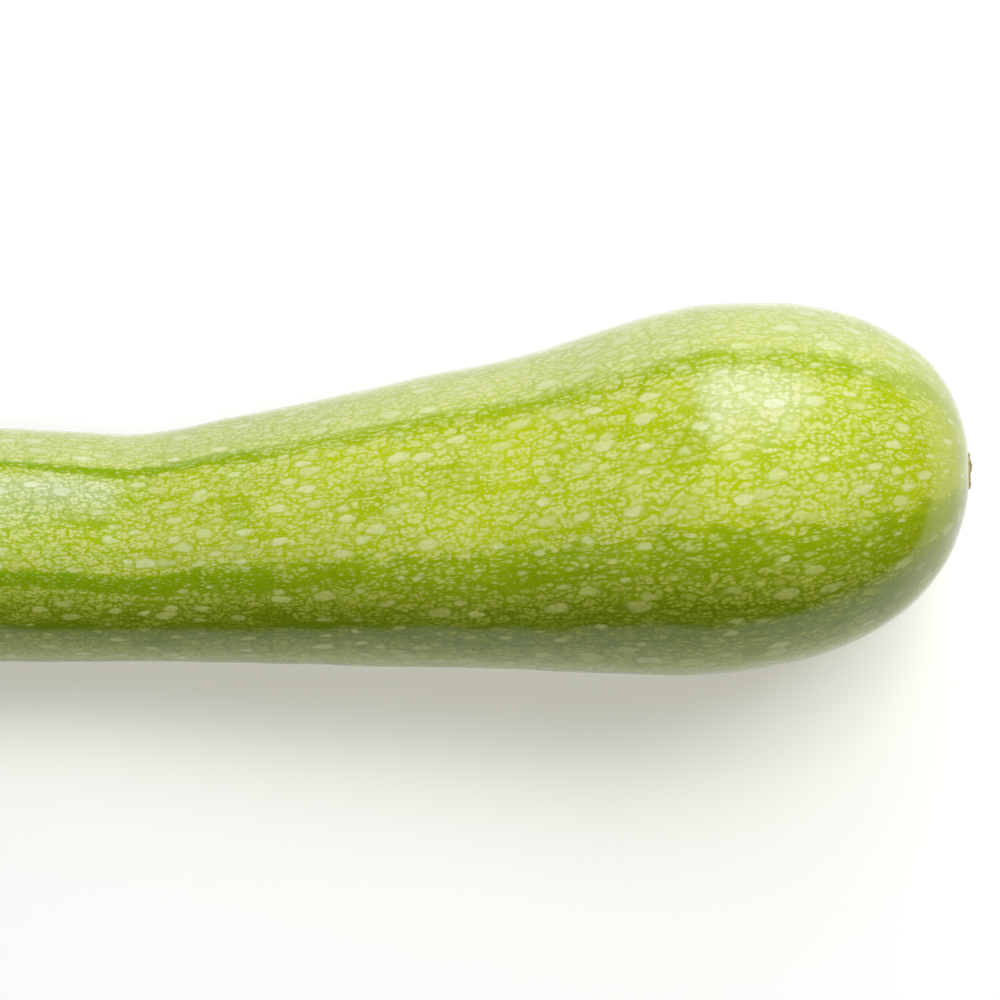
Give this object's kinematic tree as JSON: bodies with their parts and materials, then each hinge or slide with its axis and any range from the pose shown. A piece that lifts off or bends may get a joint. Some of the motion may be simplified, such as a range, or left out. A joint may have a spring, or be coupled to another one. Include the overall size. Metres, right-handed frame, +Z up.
{
  "type": "courgette",
  "caption": "Whole pale green speckled courgette, club shaped, with the stub of its cut stem, lying on its side.",
  "frame": {"origin": "on the resting surface, under the middle of the bounding box", "axes": "+X along the fruit from the stem to the blossom end, +Y across it, towards the side that the thick end swells to, +Z up"},
  "size_m": [0.238, 0.0644, 0.0621],
  "materials": {
    "skin": "smooth thin waxy skin, yellow-green with pale speckles, darker green stripes and a soft gloss",
    "stem": "ridged green stem with fine hairs and grooves, and a paler, drying cut face"
  },
  "bodies": {
    "root": {"fruit": "skin", "stem": "stem"}
  },
  "joints": []
}
